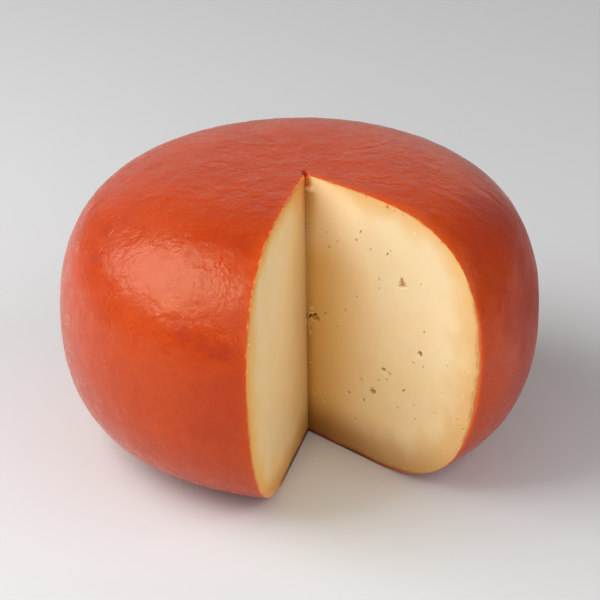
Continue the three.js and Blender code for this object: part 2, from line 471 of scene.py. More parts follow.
def fold(points, start, end, half_width, height):
    """A crease with one raised shoulder along a line on the top, seen from above."""
    step = end - start
    length = np.hypot(*step)
    forward = step / length
    offset = points[:, :2] - start
    along = offset @ forward
    bend = FOLD_BEND * length * np.sin(np.pi * np.clip(along / length, 0, 1))
    across = (offset[:, 0] * forward[1] - offset[:, 1] * forward[0] - bend) / half_width
    ends = smooth(-0.1 * length, 0.3 * length, along) * smooth(1.1 * length, 0.7 * length, along)
    shoulder = SHOULDER_HEIGHT * np.exp(-((across - SHOULDER_PLACE) ** 2))
    return height * ends * (shoulder - np.exp(-(across**2)))


def top_folds(points):
    """The coating's folds over the whole top."""
    generator = np.random.default_rng(21)
    total = np.zeros(len(points))
    for angle_a, radius_a, angle_b, radius_b, half_width, height in LARGE_FOLDS:
        start, end = on_plan(angle_a, radius_a), on_plan(angle_b, radius_b)
        total += fold(points, start, end, half_width * MM, height * MM)
    for _ in range(FOLD_COUNT):
        radius = FOLD_REACH * math.sqrt(generator.uniform(0.02, 1))
        middle = radius * heading(generator.uniform(0, 2 * np.pi))
        turn = FOLD_DIRECTION + generator.normal(0, FOLD_TURN)
        half_length, width, height = (generator.uniform(*sizes) * MM for sizes in FOLD_SIZES)
        half = half_length * heading(turn)
        total += fold(points, middle - half, middle + half, width, height)
    return total * smooth(100 * MM, 116 * MM, points[:, 2])


def notch_share(points):
    """1 in the notch behind the tip's top and 0 outside it, and the same for its raised lips."""
    away = points[:, :2] - tip_at(points[:, 2])
    ahead = away @ heading(NOTCH_DIRECTION)
    across = away @ heading(NOTCH_DIRECTION + math.pi / 2)
    length = smooth(NOTCH_LENGTH, 0.6 * NOTCH_LENGTH, ahead) * smooth(-1.8 * MM, 0, ahead)
    length = length * smooth(top_corner.z - NOTCH_FOOT, top_corner.z - 1 * MM, points[:, 2])
    width = NOTCH_HALF_WIDTH * (0.4 + 0.6 * smooth(NOTCH_LENGTH, 0, ahead))
    notch = np.exp(-np.abs(across / width) ** 3) * length
    lips = np.exp(-(((np.abs(across) - 1.75 * width) / (0.5 * width)) ** 2)) * length
    return notch, lips


def sink_notch(points):
    """The points with the notch pressed down and its lips raised."""
    notch, lips = notch_share(points)
    sunk = points.copy()
    sunk[:, 2] += LIP_HEIGHT * lips - NOTCH_DEPTH * notch
    return sunk


# The rind's dents and pocks: height and size in millimetres, and the noise's seed. Then the burr that the
# knife raised along the cut: its height and width.
RIND_RELIEF = ((0.32, 60, 1), (0.15, 19, 2), (0.13, 8, 3))
BURR_HEIGHT = 0.16
BURR_WIDTH = 1.3 * MM


def rind_relief(points, cut_distance):
    """How far the rind's points stand out from the smooth form."""
    uneven = sum(height * noise_field(points, size, seed) for height, size, seed in RIND_RELIEF)
    lifted = smooth(0.5 * MM, 6 * MM, points[:, 2] - base_corner.z)
    broken = 0.4 + 0.6 * noise_field(points, 5, 4, octaves=1)
    burr = BURR_HEIGHT * smooth(BURR_WIDTH, 0, cut_distance) * broken
    folds = top_folds(points) * smooth(2 * MM, 8 * MM, cut_distance)
    return (uneven + burr) * MM * lifted + folds


# Deeper and paler patches: angle, radius and height of the middle, size in millimetres, and how much deeper
# the colour is there. They are partly the coating's uneven colour and partly painted shade; the large ones
# on the right side and low on the front are painted shade where less light falls.
RIND_PATCHES_AND_SHADE = (
    (-132, 90.6, 114.2, 4, 0.6), (-127.7, 98.5, 105.5, 4, 0.7), (-129.8, 103.7, 96.5, 2.4, 0.5),
    (-117.5, 101.5, 100.8, 2, 0.4), (-116.9, 80.1, 121.1, 4, 0.3), (-92.3, 70.3, 124.9, 7, 0.4),
    (-81.8, 72.1, 124.3, 8, 0.45), (-90.5, 105.1, 93.1, 5, 0.6), (-85, 105.9, 90.8, 5, 0.5),
    (-79.2, 106.4, 89.4, 5, 0.65), (-94, 107.6, 85.3, 3, 0.4), (-79, 109.8, 66, 19, 0.42),
    (20, 98, 92, 40, 0.85), (14, 108, 50, 36, 0.6), (-84, 108, 40, 16, 0.2),
    (-105.9, 105.4, 92.3, 4, -0.2), (-97, 100, 104, 5, -0.3),
)


def rind_tone_and_shade(points):
    """Named patches, partly the coating's colour and partly painted shade, broken up by noise so that no edge
    is round.
    """
    tone = np.zeros(len(points))
    for angle, radius, up, size, amount in RIND_PATCHES_AND_SHADE:
        middle = np.append(on_plan(angle, radius), up * MM)
        away = np.linalg.norm(points - middle, axis=1) / (size * MM)
        near = away < 3
        wander = noise_field(points[near], size * 0.7, 31)
        tone[near] += amount * smooth(1.5, 0.4, away[near] + 0.45 * wander)
    return tone


def ledge_fields(flat):
    """The torn ledge on the right face, the orange film above it, and the floor and shade of the painted
    shadow under the ledge and down the tip line.
    """
    out, up = flat[:, 0] / MM, (flat[:, 1] - LEDGE_UP) / MM
    ragged = 0.35 * np.sin(out * 2.9) + 0.2 * np.sin(out * 6.1 + 1)
    ledge = smooth(ragged, ragged + 0.4, up) * smooth(3.4, 1.4, up) * smooth(1, 0.7, flat[:, 0] / LEDGE_OUT)
    film = smooth(4.4, 2, out) * smooth(1.4, 3, up)
    # Painted shadow under the ledge and down the tip line, brown and fading out from it
    ledge_shadow = smooth(9, 0.8, out) * smooth(ragged, ragged - 0.4, up) * smooth(-28, -3, up)
    return ledge, film, 0.7 * ledge_shadow, 0.28 * film + 0.1 * ledge_shadow


def top_corner_film(flat, away):
    """The orange that the knife dragged over the left face's top corner and along its rim."""
    corner = smooth(27 * MM, 4 * MM, np.hypot(flat[:, 0], flat[:, 1] - top_corner.z))
    return 0.75 * corner + 0.2 * smooth(9 * MM, 0.5 * MM, away) * (1 - corner)


def knife_waves(side, flat):
    """Faint waves that the knife left, long in the direction of its stroke."""
    seed, height = KNIFE_WAVES[side]
    at = flat * KNIFE_STROKE
    return (height * noise_field(at, 14, seed) + 0.04 * noise_field(at, 3, seed + 2)) * MM


def coating_thickness(side, flat):
    """How wide the coating's cut edge shows."""
    uneven = 1 + 0.4 * noise_field(flat, 6, 41)
    below = COATING_BELOW * smooth(6 * MM, 0.5 * MM, flat[:, 1] - base_corner.z)
    beside = COATING_BESIDE[side] * smooth(92 * MM, 101 * MM, flat[:, 0])
    return (COATING[side] + below + beside) * uneven


def coating_edge(side, flat, away):
    """How many widths of the coating's cut edge points are from the rim, and the groove along it."""
    coat = away / coating_thickness(side, flat)
    gap = np.clip(0.5 + 0.5 * noise_field(flat, 4, 43), 0.1, 1)
    return coat, GROOVE[side] * np.exp(-(((coat - 1.5) / 0.45) ** 2)) * gap


def carve_marks(side, flat):
    """How deep the hollows and flakes leave points of a cut face, with painted shade on the hollows' floors
    and upper walls, a painted highlight on their lower lips, and the flakes' paleness.
    """
    hollow, floor, shade, pale_and_highlight = np.zeros((4, len(flat)))
    for mark in map(Mark._make, FACE_HOLLOWS[side]):
        share, rise = mark_share(mark, flat)
        dark = mark.tint
        wall = 1 - smooth(0.3 + 0.25 * (1 + rise), 1.04, share)
        lip = min(0.9 * dark, 3 * (1.05 - dark))
        lit_side = -0.7 - 6 * max(dark - 1, 0)
        hollow = np.maximum(hollow, mark.deep * MM * wall)
        # Painted shade over the hollow's floor
        floor = np.maximum(floor, wall * (0.15 + 0.85 * dark))
        shade = np.maximum(shade, wall * dark**1.5 * smooth(lit_side, 0.5, rise))
        # The paleness under a hollow is a painted highlight on its lit lower lip
        pale_and_highlight = np.maximum(pale_and_highlight, lip * np.exp(-(((share - 1.3) / 0.25) ** 2)) * smooth(0.1, -0.8, rise))
    for flake in map(Mark._make, FACE_FLAKES[side]):
        share, _ = mark_share(flake, flat)
        raised = 1 - smooth(0.35, 1.05, share)
        hollow = hollow - flake.deep * MM * raised
        pale_and_highlight = np.maximum(pale_and_highlight, flake.tint * raised)
    return hollow, floor, shade, pale_and_highlight


def face_relief(side, flat, away):
    """How far points of a cut face lie behind the knife's plane, and what their colours are mixed by."""
    hollow, floor, shade, pale_and_highlight = carve_marks(side, flat)
    coat, groove = coating_edge(side, flat, away)
    waves = knife_waves(side, flat) * smooth(0, 2.5 * MM, away)
    relief = (waves + hollow + GROOVE_DEPTH * groove) * smooth(0, 1.2 * MM, flat[:, 0])
    if side == "left":
        film = top_corner_film(flat, away)
    else:
        ledge, film, ledge_shadow_floor, ledge_shadow_shade = ledge_fields(flat)
        relief = relief - LEDGE_HEIGHT * ledge * smooth(0, 0.8 * MM, flat[:, 0])
        pale_and_highlight = np.maximum(pale_and_highlight, 0.2 * ledge * (1 - film))
        floor = np.maximum(floor, np.maximum(ledge_shadow_floor, 0.2 * ledge))
        shade = np.maximum(shade, ledge_shadow_shade)
        film = np.maximum(film, 0.1 * ledge)
    return relief, dict(floor=floor, shade=shade, pale_and_highlight=pale_and_highlight, coat=coat, groove=groove, film=film)


def nick_depth(up):
    """How deep in a nick of the tip line each height is, in metres."""
    depth = np.zeros(len(up))
    for middle, length, deep in TIP_NICKS:
        depth = np.maximum(depth, deep * MM * smooth(1, 0.2, np.abs(up - middle * MM) / (length * MM / 2)))
    return depth


def painted_shade_fields(side, out, up):
    """Painted shade of the paste towards the tip line, in its corner and near the foot of the cut, and of the
    coating's edge low down near the tip.
    """
    out, up = out / MM, (up - base_corner.z) / MM
    if side == "right":
        near = smooth(50, 0, out)
        deep = near * (1 - (0.55 + 0.35 * (1 - near)) * smooth(84, 112, up))
        corner = smooth(7, 0.3, out) + 0.8 * smooth(3.6, 1.4, out) * smooth(57, 46, up)
        foot_shade = smooth(24, 2, up) * (1 - 0.55 * smooth(0, 70, out))
    else:
        deep = 0.2 + 0.4 * smooth(45, 0, out)
        corner = 0.45 * smooth(5, 0.2, out)
        foot_shade = 0.5 * smooth(16, 2, up) * (1 - 0.2 * smooth(0, 70, out))
    return dict(deep=deep, corner=corner, foot_shade=foot_shade, low_shade=smooth(72, 34, out) * smooth(34, 10, up))


# The fields, numbers that the mesh's points carry for the materials: the first five are the rind's
FIELD_NAMES = ("cut_distance", "glow", "tone", "notch", "lips", "rind_depth", "coat", "coat_deep", "groove",
               "film", "floor", "shade", "pale_and_highlight", "deep", "corner", "foot_shade", "low_shade")


def empty_fields(count):
    return {name: np.zeros(count) for name in FIELD_NAMES}


def distance_to_cloud(points, cloud, block=2000):
    """Distance from each point to the nearest of a small set of points."""
    found = []
    for start in range(0, len(points), block):
        apart = points[start : start + block, None] - cloud
        found.append(np.linalg.norm(apart, axis=2).min(1))
    return np.hstack(found)


def outward_normals(vertices, triangles):
    """Area-weighted vertex normals of a mesh of triangles."""
    a, b, c = (vertices[triangles[:, i]] for i in range(3))
    normal = np.cross(b - a, c - a)
    total = np.zeros_like(vertices)
    for i in range(3):
        np.add.at(total, triangles[:, i], normal)
    return total / np.maximum(np.linalg.norm(total, axis=1), 1e-12)[:, None]


def rind_faces(index):
    """Quads over the rind's grid and triangles round its two inner ends, facing out."""
    quads = np.stack((index[:-1, :-1], index[1:, :-1], index[1:, 1:], index[:-1, 1:]), -1).reshape(-1, 4)
    caps = [(index.size, a, b) for a, b in zip(index[0, :-1], index[0, 1:])]
    caps += [(index.size + 1, b, a) for a, b in zip(index[-1, :-1], index[-1, 1:])]
    return quads, np.array(caps)


def rim_glow(side, height, from_tip, from_rim):
    """How strongly the coating glows near a cut face's rim."""
    strength, narrow, wide = RIM_GLOW[side]
    spread = smooth(98 * MM, 120 * MM, height) * (0.25 + 0.75 * smooth(15 * MM, 65 * MM, from_tip))
    width = narrow + (wide - narrow) * spread
    return strength * smooth(width, 0, from_rim) * smooth(1 * MM, 6 * MM, from_tip)


def dress_rind(points, index, quads, caps):
    """The rind's points with their relief, and their fields."""
    triangles = np.vstack((quads[:, (0, 1, 2)], quads[:, (0, 2, 3)], caps))
    fields = empty_fields(len(points))
    fields["cut_distance"] += WHEEL_RADIUS
    fields["notch"], fields["lips"] = notch_share(points)
    fields["tone"] = rind_tone_and_shade(points)
    from_tip = from_tip_line(points)
    wander = 1 + 0.45 * noise_field(points, 16, 51)
    for side in RIM_COLUMNS:
        rim = rim_numbers(index, side)
        from_rim = distance_to_cloud(points, points[rim])
        fields["cut_distance"] = np.minimum(fields["cut_distance"], from_rim)
        glow = rim_glow(side, points[:, 2], from_tip, from_rim / wander)
        fields["glow"] = np.maximum(fields["glow"], glow)
        fields["coat_deep"][rim] = side == "right"
        for name, values in painted_shade_fields(side, from_tip[rim], points[rim, 2]).items():
            fields[name][rim] = values
    relief = rind_relief(points, fields["cut_distance"])
    return points + outward_normals(points, triangles) * relief[:, None], fields


def dress_tip_line(tip_line, edge):
    """The tip line's points with their nicks, and their fields."""
    up = tip_line[:, 1]
    nick = nick_depth(up)
    fields = empty_fields(len(up))
    fields["rind_depth"] = distance_to(tip_line, edge)
    fields["coat"] = fields["rind_depth"] / coating_thickness("right", tip_line)
    _, fields["film"], fields["floor"], ledge_shadow_shade = ledge_fields(tip_line)
    fields["shade"] = np.maximum(np.clip(nick / (1 * MM), 0, 1), ledge_shadow_shade)
    fields["coat_deep"] += 1
    fields.update(painted_shade_fields("right", np.zeros(len(up)), up))
    return on_ray(up, np.full(len(up), BEHIND_TIP), nick), fields


def dress_face(side, flat, edge):
    """A cut face's inner points with their relief, and their fields."""
    out, up = flat.T
    away = distance_to(flat, edge)
    fields = empty_fields(len(flat))
    relief, marked = face_relief(side, flat, away)
    fields.update(marked)
    fields.update(painted_shade_fields(side, out, up))
    fields["rind_depth"] = away
    if side == "right":
        fields["rind_depth"] = away + 9 * MM * smooth(34 * MM, 6 * MM, out) * smooth(100 * MM, 120 * MM, up)
        fields["coat_deep"] += 1
    nick = nick_depth(up) * smooth(2.6 * MM, 0, out) * 0.6
    angle = face_angle(side, up)
    return on_ray(up, angle, out) + behind_face(side, angle) * (relief + nick)[:, None], fields


def build_wheel():
    """The whole wheel as one closed mesh, with the numbers that its materials read."""
    generator = np.random.default_rng(7)
    grid, top_tip, low_tip = rind_grid()
    index = np.arange(grid[..., 0].size).reshape(grid.shape[:2])
    plain = np.vstack((grid.reshape(-1, 3), top_tip, low_tip))
    quads, caps = rind_faces(index)
    parts = [dress_rind(plain, index, quads, caps)]
    faces = quads.tolist() + caps.tolist()
    rind_count = len(faces)
    start = len(plain)
    tip_index = None
    for side in RIM_COLUMNS:
        rim = rim_numbers(index, side)
        edge = np.stack((from_tip_line(plain[rim]), plain[rim, 2]), -1)
        inner, tip_line, sheet = face_sheet(side, edge, generator)
        if tip_index is None:
            parts.append(dress_tip_line(tip_line, edge))
            tip_index = np.arange(len(tip_line)) + start
            start += len(tip_line)
        numbers = np.hstack((rim, tip_index, np.arange(len(inner)) + start))
        faces += numbers[sheet].tolist()
        parts.append(dress_face(side, inner, edge))
        start += len(inner)
    mesh = wheel_mesh(parts, faces, rind_count)
    make_outward(mesh)
    mark_cut_edges(mesh, tip_index)
    return new_object("gouda_wheel", mesh)


def wheel_mesh(parts, faces, rind_count):
    """One mesh of the parts' points and fields. Its first faces are rind, and the others paste."""
    mesh = bpy.data.meshes.new("gouda_wheel")
    points = np.vstack([points for points, _ in parts])
    mesh.from_pydata(sink_notch(points).tolist(), [], faces)
    for name in FIELD_NAMES:
        values = np.hstack([fields[name] for _, fields in parts])
        mesh.attributes.new(name, "FLOAT", "POINT").data.foreach_set("value", values.astype(np.float32))
    slots = np.zeros(len(faces), np.int32)
    slots[rind_count:] = 1
    mesh.polygons.foreach_set("material_index", slots)
    mesh.shade_smooth()
    return mesh


def make_outward(mesh):
    """Turns every face the same way, outwards."""
    work = bmesh.new()
    work.from_mesh(mesh)
    bmesh.ops.recalc_face_normals(work, faces=work.faces)
    work.to_mesh(mesh)
    work.free()


def mark_cut_edges(mesh, tip_index):
    """Keeps the rims and the tip line crisp in the shading."""
    touched = np.zeros((2, len(mesh.vertices)), bool)
    for polygon in mesh.polygons:
        touched[polygon.material_index, list(polygon.vertices)] = True
    crisp = touched.all(0)
    crisp[tip_index] = True
    edges = np.zeros(len(mesh.edges) * 2, np.int32)
    mesh.edges.foreach_get("vertices", edges)
    attribute = mesh.attributes.new("sharp_edge", "BOOLEAN", "EDGE")
    attribute.data.foreach_set("value", crisp[edges.reshape(-1, 2)].all(1))


# Crumbs that stuck to the rims and the torn ledge: side, out, up and radius in millimetres
CRUMBS = (
    ("left", 91.5, 115.6, 0.5), ("left", 90.2, 116.6, 0.4), ("left", 98.9, 92.6, 0.8),
    ("left", 103, 81.6, 0.5), ("left", 103.9, 69.4, 0.6), ("left", 103.9, 64.1, 0.5),
    ("left", 52.4, 126.4, 0.6), ("left", 47.8, 127, 0.5), ("left", 62.9, 124.8, 0.6),
    ("left", 75.4, 121, 0.5), ("left", 101.7, 47.5, 0.4), ("right", 35.2, 128, 0.5),
    ("right", 47.1, 126.8, 0.7), ("right", 50.8, 126.2, 0.6), ("right", 56.1, 125.3, 0.4),
    ("right", 77.7, 118.8, 0.4), ("right", 101.9, 63.2, 0.6), ("right", 102, 57.4, 0.7),
    ("right", 101.5, 51.6, 0.5), ("right", 1.9, 122.7, 0.45), ("right", 3.2, 122.9, 0.5),
    ("right", 4.6, 122.8, 0.45),
)
CRUMB_ROUNDS = 2
CRUMB_STANDS_OUT = 0.25


def crumb_place(side, out, up):
    """Where a crumb sits on a cut face, and the direction out of the face."""
    height = np.array([up * MM])
    angle = face_angle(side, height)
    limit = reach(height, outline_radius(height), angle) - 0.1 * MM
    return on_ray(height, angle, np.minimum(out * MM, limit))[0], -behind_face(side, angle)[0]


def build_crumbs():
    """All the crumbs as one mesh: lumps of uneven shape, partly sunk where they stick."""
    generator = np.random.default_rng(5)
    work = bmesh.new()
    for side, out, up, radius in CRUMBS:
        place, outward = crumb_place(side, out, up)
        ball = bmesh.ops.create_icosphere(work, subdivisions=CRUMB_ROUNDS, radius=1)
        stretch = Vector(generator.uniform(0.65, 1.25, 3))
        shift = Vector(generator.uniform(0, 50, 3))
        centre = Vector(place + outward * radius * CRUMB_STANDS_OUT * MM)
        for vertex in ball["verts"]:
            lump = 1 + 0.35 * noise.noise(vertex.co * 1.3 + shift)
            lump += 0.15 * noise.noise(vertex.co * 3.1 + shift)
            vertex.co = centre + vertex.co * stretch * lump * radius * MM
    mesh = bpy.data.meshes.new("crumbs")
    work.to_mesh(mesh)
    work.free()
    mesh.shade_smooth()
    return new_object("crumbs", mesh)


# Shader nodes


def new_material(name):
    material = bpy.data.materials.new(name)
    material.use_nodes = True
    material.node_tree.nodes.clear()
    return material, material.node_tree


def feed(socket, value):
    """Links a socket to another one, or sets its value: a number, a vector or a colour without its alpha."""
    if isinstance(value, bpy.types.NodeSocket):
        socket.id_data.links.new(value, socket)
    elif socket.type == "RGBA":
        socket.default_value = (*value, 1)
    else:
        socket.default_value = value


def add(tree, kind, **values):
    """A shader node. Values name its inputs by their labels with _ for spaces, or else its properties."""
    made = tree.nodes.new(kind)
    for name, value in values.items():
        label = name.replace("_", " ")
        if label in made.inputs:
            feed(made.inputs[label], value)
        else:
            setattr(made, name, value)
    return made


def surface(tree, **values):
    """A material's shader and its output."""
    shader = add(tree, "ShaderNodeBsdfPrincipled", **values)
    add(tree, "ShaderNodeOutputMaterial", Surface=shader.outputs[0])


def surface_place(tree, stretch=(1, 1, 1)):
    """The object's own coordinates, squeezed along an axis where a pattern is drawn out along it."""
    place = add(tree, "ShaderNodeTexCoord").outputs["Object"]
    if stretch == (1, 1, 1):
        return place
    return add(tree, "ShaderNodeMapping", Vector=place, Scale=stretch).outputs["Vector"]


def noise_of(place, size, detail=2, roughness=0.5, distortion=0):
    """Noise with features of a size in millimetres."""
    made = add(place.id_data, "ShaderNodeTexNoise", Vector=place, Scale=1 / (size * MM), Detail=detail,
               Roughness=roughness, Distortion=distortion)
    return made.outputs["Fac"]


def field(tree, name):
    return add(tree, "ShaderNodeAttribute", attribute_name=name).outputs["Fac"]


def remap(value, low, high, to_low=0, to_high=1):
    made = add(value.id_data, "ShaderNodeMapRange", interpolation_type="SMOOTHSTEP", Value=value,
               From_Min=low, From_Max=high, To_Min=to_low, To_Max=to_high)
    return made.outputs["Result"]


def mix(share, first, second):
    """The colour between two others. The mix node has its colours at inputs 6 and 7 and at output 2."""
    made = add(share.id_data, "ShaderNodeMix", data_type="RGBA")
    for index, value in ((0, share), (6, first), (7, second)):
        feed(made.inputs[index], value)
    return made.outputs[2]


def maths(operation, first, second=0):
    made = add(first.id_data, "ShaderNodeMath", operation=operation)
    for socket, value in zip(made.inputs, (first, second)):
        feed(socket, value)
    return made.outputs[0]


def times(first, second):
    return maths("MULTIPLY", first, second)


def tint_by_fields(colour, tints):
    """The colour mixed towards each tint by a field of the mesh and a strength."""
    for name, strength, tint in tints:
        colour = mix(times(field(colour.id_data, name), strength), colour, tint)
    return colour


def bump_of(height, strength, distance, under=None):
    """Bumps of a height in millimetres, over others if there are any."""
    made = add(height.id_data, "ShaderNodeBump", Strength=strength, Distance=distance * MM, Height=height)
    if under is not None:
        feed(made.inputs["Normal"], under)
    return made.outputs["Normal"]


# The rind: its colours, and what turns it towards a patch's colour between two values of its tone

RIND_COLOUR = (0.535, 0.048, 0.0012)
RIND_DARK = (0.45, 0.031, 0.0007)
RIND_BRIGHT = (0.585, 0.069, 0.002)
RIND_RICH = (0.5, 0.036, 0.0003)
RIND_DEEP = (0.34, 0.013, 0.0003)
RIND_GLOW = (0.68, 0.074, 0.0004)
RIND_PALE = (0.62, 0.11, 0.012)
RIND_EDGE = (0.82, 0.25, 0.06)
# Painted shade in the notch behind the tip
NOTCH_SHADE_RED = (0.42, 0.01, 0.0004)
# Painted highlight on the notch's raised lips
LIP_HIGHLIGHT_PINK = (0.85, 0.24, 0.11)
RIND_GLOSS = (1, 0.99, 0.68)
RIND_TONES = ((0, 0.7, RIND_RICH), (0.1, 1.5, RIND_DEEP), (0, -0.8, RIND_PALE))


def rind_colour(tree, place, height, tone, glow):
    """Mottled orange-red, with its patches, some of them painted shade, a bright broken line and a glow along
    the cut, painted shade in the notch and a painted highlight on its raised lips.
    """
    broad = remap(noise_of(place, 40, 3, 0.55), 0.36, 0.64)
    mottle = remap(noise_of(place, 6, 3, 0.6, 0.4), 0.35, 0.7)
    colour = mix(times(broad, 0.5), RIND_COLOUR, RIND_DARK)
    colour = mix(times(mottle, 0.3), colour, RIND_BRIGHT)
    for low, high, tint in RIND_TONES:
        colour = mix(remap(tone, low, high), colour, tint)
    colour = mix(glow, colour, RIND_GLOW)
    broken = remap(noise_of(place, 3), 0.4, 0.65, 0, 0.8)
    edge_line = remap(field(tree, "cut_distance"), 0.9 * MM, 0.4 * MM)
    edge_line = times(times(edge_line, broken), remap(height, 70 * MM, 100 * MM, 0.3))
    colour = mix(edge_line, colour, RIND_EDGE)
    # A painted highlight on the notch's lips, then painted shade in the notch
    colour = mix(times(field(tree, "lips"), broken), colour, LIP_HIGHLIGHT_PINK)
    return mix(field(tree, "notch"), colour, NOTCH_SHADE_RED)


def rind_roughness(place, tone, glow):
    """Satin, and duller in the deep patches and along the cut."""
    roughness = remap(noise_of(place, 9, 3, 0.6), 0.3, 0.7, 0.25, 0.35)
    roughness = maths("ADD", roughness, remap(tone, 0.2, 1.6, 0, 0.35))
    return maths("ADD", roughness, times(glow, 0.2))


def rind_bump(place, height):
    """Shallow swells, and fine wrinkles in patches, mostly on the wheel's upper half."""
    swell = noise_of(place, 6, 3, 0.55)
    middle_line = maths("ABSOLUTE", maths("SUBTRACT", noise_of(place, 4, 1.5), 0.5))
    patches = remap(noise_of(place, 22, 1), 0.45, 0.62)
    patches = times(patches, remap(height, 50 * MM, 85 * MM, 0.15))
    wrinkles = times(remap(middle_line, 0, 0.13), patches)
    return bump_of(wrinkles, 0.5, 0.16, bump_of(swell, 0.75, 0.8))


def rind_material():
    material, tree = new_material("rind")
    place = surface_place(tree)
    height = add(tree, "ShaderNodeSeparateXYZ", Vector=place).outputs["Z"]
    tone = field(tree, "tone")
    glow = field(tree, "glow")
    surface(
        tree,
        Base_Color=rind_colour(tree, place, height, tone, glow),
        Roughness=rind_roughness(place, tone, glow),
        Normal=rind_bump(place, height),
        IOR=1.44,
        Specular_Tint=RIND_GLOSS,
        Sheen_Weight=0.05,
        Sheen_Roughness=0.4,
        Subsurface_Weight=0.35,
        Subsurface_Radius=(1, 0.35, 0.1),
        Subsurface_Scale=3 * MM,
    )
    return material


# The paste and the coating's cut edge: their colours, and those that the mesh's fields mix in, in order;
# most of those mixed in are painted shade, and one is partly a painted highlight

PASTE_COLOUR = (0.93, 0.755, 0.485)
# Paste painted deeper towards the base: painted shade
PASTE_LOW_SHADED = (0.93, 0.725, 0.415)
PASTE_CLOUD = (0.89, 0.66, 0.34)
# Painted shade over the top of the right face
PASTE_TOP_RIGHT_SHADE = (0.83, 0.665, 0.405)
# Near the rind the paste is deeper, partly its own colour and partly a painted glow of light through the rind
PASTE_NEAR_RIND_LEFT = (0.93, 0.51, 0.11)
PASTE_NEAR_RIND_RIGHT = (0.79, 0.48, 0.185)
# Painted shade that the fields mix in: towards the tip line, in its corner and near the foot of the cut
PASTE_TIP_SHADE = (0.72, 0.425, 0.11)
PASTE_CORNER_SHADE = (0.54, 0.25, 0.04)
PASTE_FOOT_SHADE = (0.26, 0.085, 0.004)
# Pale paste of the flakes, and a painted highlight on lit lips and on the ledge
PASTE_PALE_AND_HIGHLIGHT = (0.93, 0.78, 0.5)
# Painted shade on the floors of hollows and under the torn ledge
EYE_FLOOR_SHADE = (0.62, 0.28, 0.025)
EYE_SHADE = (0.1, 0.028, 0.001)
# The coating's cut edge, painted brighter for the highlight where the edge catches the light
COATING_CUT_AND_HIGHLIGHT = (0.9, 0.38, 0.11)
COATING_CUT_DULL = (0.66, 0.25, 0.06)
COATING_CUT_DEEP = (0.62, 0.12, 0.012)
# Painted shade on the coating's edge low down near the tip
COATING_LOW_SHADE = (0.15, 0.028, 0.004)
# Painted shade in the groove along the coating's cut edge
COATING_GAP_SHADE = (0.3, 0.06, 0.004)
COATING_FILM = (0.8, 0.24, 0.03)
PASTE_TINTS = (
    ("deep", 1, PASTE_TIP_SHADE),
    ("corner", 0.45, PASTE_CORNER_SHADE),
    ("foot_shade", 0.9, PASTE_FOOT_SHADE),
    ("pale_and_highlight", 1, PASTE_PALE_AND_HIGHLIGHT),
    ("film", 1, COATING_FILM),
    ("floor", 1, EYE_FLOOR_SHADE),
    ("shade", 0.9, EYE_SHADE),
)


def paste_colour(tree, place, right_side):
    """Pale yellow in soft clouds; deeper near the rind, partly its own colour and partly a painted glow of
    light through the rind; painted shade towards the base and over the right face's top; and tinted where the
    mesh's fields say so, mostly by painted shade.
    """
    clouds = remap(noise_of(place, 13, 3), 0.35, 0.65)
    streaks = remap(noise_of(surface_place(tree, (1, 1, 0.1)), 2.2), 0.35, 0.65)
    height = add(tree, "ShaderNodeSeparateXYZ", Vector=place).outputs["Z"]
    # Deeper towards the base: painted shade
    colour = mix(remap(height, 25 * MM, 105 * MM), PASTE_LOW_SHADED, PASTE_COLOUR)
    colour = mix(times(clouds, 0.3), colour, PASTE_CLOUD)
    colour = mix(times(streaks, 0.15), colour, PASTE_CLOUD)
    # Painted shade over the top of the right face, away from the tip line
    right_top_shade = times(right_side, remap(height, 72 * MM, 108 * MM))
    right_top_shade = times(right_top_shade, remap(field(tree, "deep"), 0.12, 0))
    colour = mix(right_top_shade, colour, PASTE_TOP_RIGHT_SHADE)
    # The band near the rind: partly the paste's own deeper colour, partly a painted glow of light through the
    # rind
    uneven = remap(noise_of(place, 12, 1), 0.3, 0.7, 0.75, 1.25)
    zone = times(remap(height, 85 * MM, 118 * MM, 23 * MM, 12 * MM), uneven)
    inside = remap(maths("DIVIDE", field(tree, "rind_depth"), zone), 0, 1)
    near_rind = mix(right_side, PASTE_NEAR_RIND_LEFT, PASTE_NEAR_RIND_RIGHT)
    return tint_by_fields(mix(inside, near_rind, colour), PASTE_TINTS)


def coating_colour(tree, place, right_side):
    """The coating's cut edge: dull in places, deep red on the right face, and dark with painted shade low down
    near the tip.
    """
    dull = remap(noise_of(place, 18), 0.4, 0.6)
    colour = mix(dull, COATING_CUT_AND_HIGHLIGHT, COATING_CUT_DULL)
    colour = mix(right_side, colour, COATING_CUT_DEEP)
    return mix(field(tree, "low_shade"), colour, COATING_LOW_SHADE)


def paste_material():
    material, tree = new_material("paste")
    place = surface_place(tree)
    right_side = field(tree, "coat_deep")
    inside_coating = remap(field(tree, "coat"), 0.5, 1.4)
    coating = coating_colour(tree, place, right_side)
    colour = mix(inside_coating, coating, paste_colour(tree, place, right_side))
    grain = noise_of(place, 1.5, 3, 0.55)
    strokes = noise_of(surface_place(tree, (1, 1, 0.08)), 1.8)
    surface(
        tree,
        # The groove along the coating's edge is tinted by painted shade
        Base_Color=tint_by_fields(colour, (("groove", 0.9, COATING_GAP_SHADE),)),
        Roughness=0.5,
        Normal=bump_of(grain, 0.25, 0.1, bump_of(strokes, 0.25, 0.1)),
        Subsurface_Weight=0.6,
        Subsurface_Radius=(1, 0.6, 0.25),
        Subsurface_Scale=1.5 * MM,
    )
    return material


CRUMB_PALE = (0.93, 0.62, 0.3)
CRUMB_ORANGE = (0.86, 0.3, 0.08)


